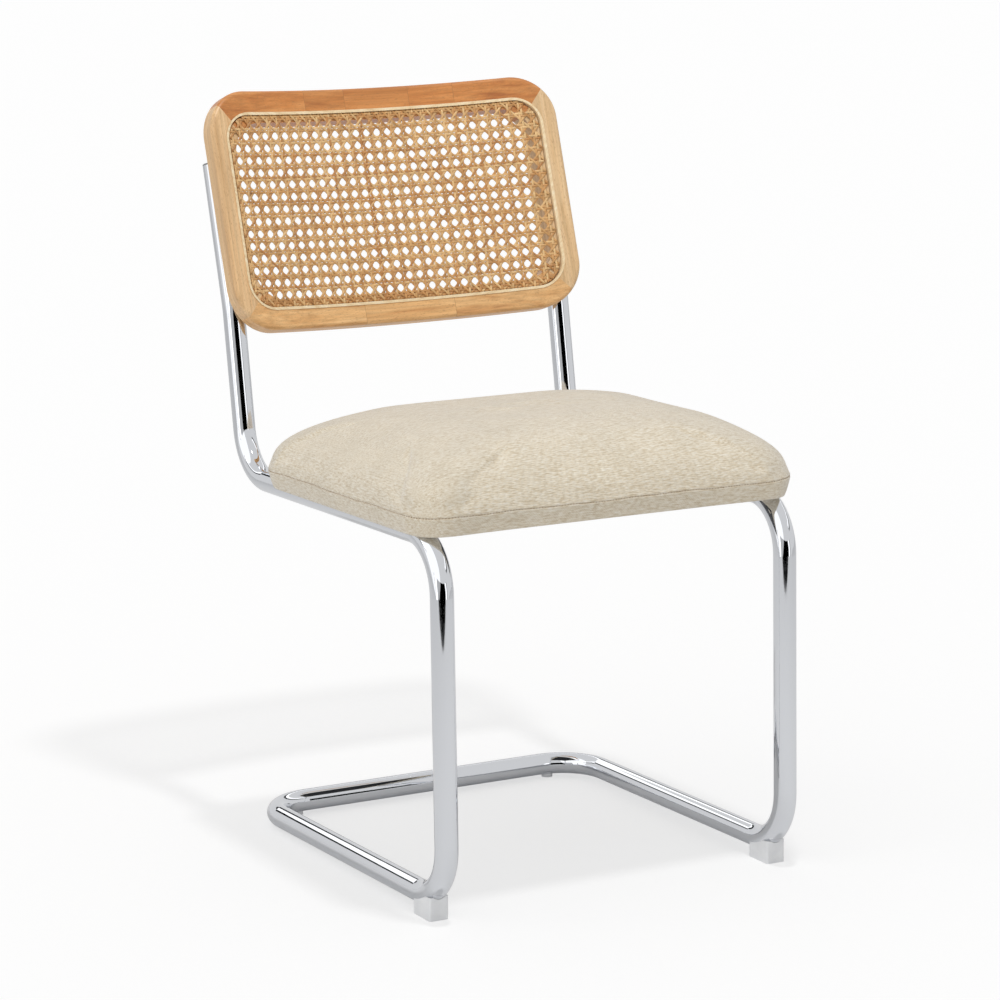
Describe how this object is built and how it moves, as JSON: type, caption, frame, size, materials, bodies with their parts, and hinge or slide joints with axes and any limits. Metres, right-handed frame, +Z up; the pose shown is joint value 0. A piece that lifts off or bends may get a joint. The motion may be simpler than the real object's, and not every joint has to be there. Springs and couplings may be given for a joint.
{
  "type": "cantilever chair",
  "caption": "Cantilever side chair with a bent chromed tube frame, a padded upholstered seat and a curved wooden backrest filled with woven cane.",
  "frame": {"origin": "on the floor, in the middle of the chair's plan", "axes": "+Z up, +Y towards the back of the chair, +X towards the sitter's left"},
  "size_m": [0.468, 0.6027, 0.8228],
  "materials": {
    "chromed_tube": "polished chrome plate",
    "grey_plastic": "moulded, satin",
    "clear_plastic": "frosted translucent plastic",
    "beech": "clear satin lacquer",
    "dowel_wood": "bare",
    "cane": "natural woven cane",
    "reed": "natural reed",
    "insert_brass": "machined",
    "plated_steel": "zinc plated",
    "plywood": "bare plywood",
    "foam": "upholstery foam",
    "upholstery": "oatmeal chenille weave",
    "dust_cloth": "non-woven cloth"
  },
  "bodies": {
    "root": {"frame_tube": "chromed_tube", "tube_end_cap_left": "grey_plastic", "tube_end_cap_right": "grey_plastic", "front_glide_left": "clear_plastic", "front_glide_right": "clear_plastic", "rear_glide_left": "clear_plastic", "rear_glide_right": "clear_plastic", "back_top_rail": "beech", "back_bottom_rail": "beech", "back_left_stile": "beech", "back_right_stile": "beech", "corner_dowels": "dowel_wood", "cane_panel": "cane", "cane_spline": "reed", "back_inserts": "insert_brass", "back_washers": "plated_steel", "back_screws": "plated_steel", "seat_board": "plywood", "seat_foam": "foam", "seat_cover": "upholstery", "seat_cover_band": "upholstery", "seat_dust_cover": "dust_cloth", "seat_tee_nuts": "plated_steel", "seat_washers": "plated_steel", "seat_screws": "plated_steel"}
  },
  "joints": []
}
